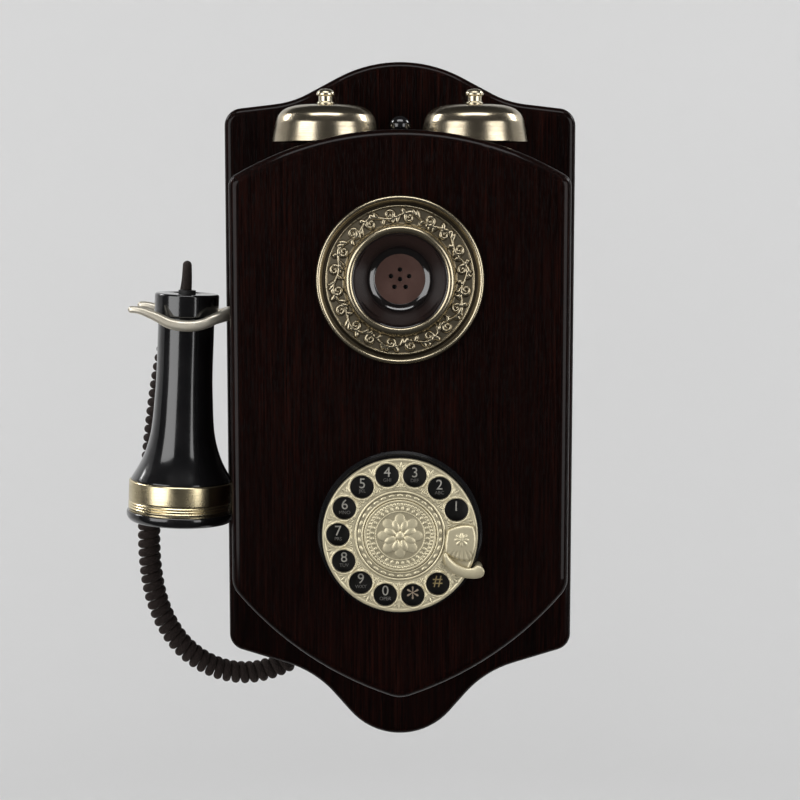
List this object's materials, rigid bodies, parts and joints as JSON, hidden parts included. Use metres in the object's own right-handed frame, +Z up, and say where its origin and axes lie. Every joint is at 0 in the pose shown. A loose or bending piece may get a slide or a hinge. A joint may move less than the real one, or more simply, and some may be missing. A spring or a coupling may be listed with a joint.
{
  "type": "corded wall telephone",
  "caption": "Wall telephone in a dark wooden case with a mouthpiece, rotary dial, gongs on top and a receiver that hangs on a side hook by a curly cord.",
  "frame": {"origin": "on the wall plane, midway between the two keyholes the telephone hangs from", "axes": "+Z up, +Y into the wall, the front faces -Y, +X to the right as seen from the front"},
  "size_m": [0.2422, 0.1185, 0.3728],
  "materials": {
    "dark_wood": "gloss lacquer over open grain",
    "frame_wood": "stained, unlacquered",
    "antique_brass": "aged, satin",
    "gong_metal": "brushed bell metal",
    "black_gloss": "polished",
    "grille_brown": "moulded",
    "number_black": "printed",
    "steel": "plated",
    "gear_brass": "machined",
    "copper_coil": "enamelled winding",
    "board_green": "solder mask",
    "black_matte": "moulded",
    "cord_braid": "woven cotton over rubber"
  },
  "bodies": {
    "case": {"back_board": "dark_wood", "batten_bottom": "frame_wood", "batten_sides": "frame_wood", "batten_top": "frame_wood", "case_screws": "steel", "circuit_board": "board_green", "circuit_parts": "black_matte", "circuit_standoffs": "steel", "cord_gland": "black_matte", "dial_base": "black_gloss", "dial_bridge": "steel", "dial_frame": "steel", "dial_return_spring": "steel", "finger_stop": "antique_brass", "front_panel": "dark_wood", "gong_left": "gong_metal", "gong_right": "gong_metal", "gong_nuts": "gong_metal", "gong_posts": "gong_metal", "governor_housing": "gear_brass", "hanger_plates": "steel", "hanger_screws": "steel", "hook_bracket": "steel", "hook_pin": "steel", "hook_switch": "black_matte", "line_jack": "black_matte", "lower_wall_left": "dark_wood", "lower_wall_right": "dark_wood", "microphone_capsule": "steel", "mouthpiece_grille": "grille_brown", "mouthpiece_horn": "black_gloss", "mouthpiece_nut": "steel", "mouthpiece_ring": "antique_brass", "number_plate": "number_black", "ringer_bracket": "steel", "ringer_coils": "copper_coil", "ringer_pin": "steel", "side_wall_left": "dark_wood", "side_wall_right": "dark_wood", "top_deck": "dark_wood", "handset_cord": "cord_braid", "handset_cord_lead": "cord_braid"},
    "dial": {"finger_wheel": "antique_brass", "dial_medallion": "antique_brass", "dial_shaft": "steel", "drive_gear": "gear_brass"},
    "governor": {"governor_pinion": "gear_brass", "governor_spindle": "steel"},
    "clapper": {"clapper_armature": "steel", "clapper_rod": "steel", "clapper_ball": "gong_metal"},
    "hook": {"hook_lever": "antique_brass"},
    "plunger": {"switch_plunger": "black_matte"},
    "receiver": {"receiver_shell": "black_gloss", "receiver_cap": "black_gloss", "receiver_gland": "black_gloss", "receiver_band": "antique_brass", "ear_cap": "black_gloss", "receiver_speaker": "steel"}
  },
  "joints": [
    {"name": "dial_spin", "type": "hinge", "parent": "case", "child": "dial", "pos_m": [0, -0.11, -0.1879], "axis": [0, 1, 0], "range_deg": [0, 314], "stiffness_Nm_per_rad": 0.004, "springref_deg": -143.24},
    {"name": "governor_spin", "type": "hinge", "parent": "case", "child": "governor", "pos_m": [0, -0.077, -0.2179], "axis": [0, 1, 0], "range_deg": [-1256, 0]},
    {"name": "clapper_swing", "type": "hinge", "parent": "case", "child": "clapper", "pos_m": [0, -0.0615, -0.0441], "axis": [0, 1, 0], "range_deg": [-5.6, 5.6], "stiffness_Nm_per_rad": 0.03},
    {"name": "receiver_lift", "type": "slide", "parent": "case", "child": "receiver", "axis": [-0.766, 0, 0.6428], "range_m": [0, 0.1], "deforming": ["handset_cord", "handset_cord_lead"]},
    {"name": "hook_swing", "type": "hinge", "parent": "case", "child": "hook", "pos_m": [-0.062, -0.061, -0.0784], "axis": [0, 1, 0], "range_deg": [0, 8]},
    {"name": "switch_travel", "type": "slide", "parent": "case", "child": "plunger", "axis": [0, 0, -1], "range_m": [0, 0.0012]}
  ],
  "couplings": [
    {"joint": "governor_spin", "follows": "dial_spin", "ratio": -4},
    {"joint": "hook_swing", "follows": "receiver_lift", "rad_per_m": 1.39},
    {"joint": "switch_travel", "follows": "receiver_lift", "ratio": 0.012}
  ]
}
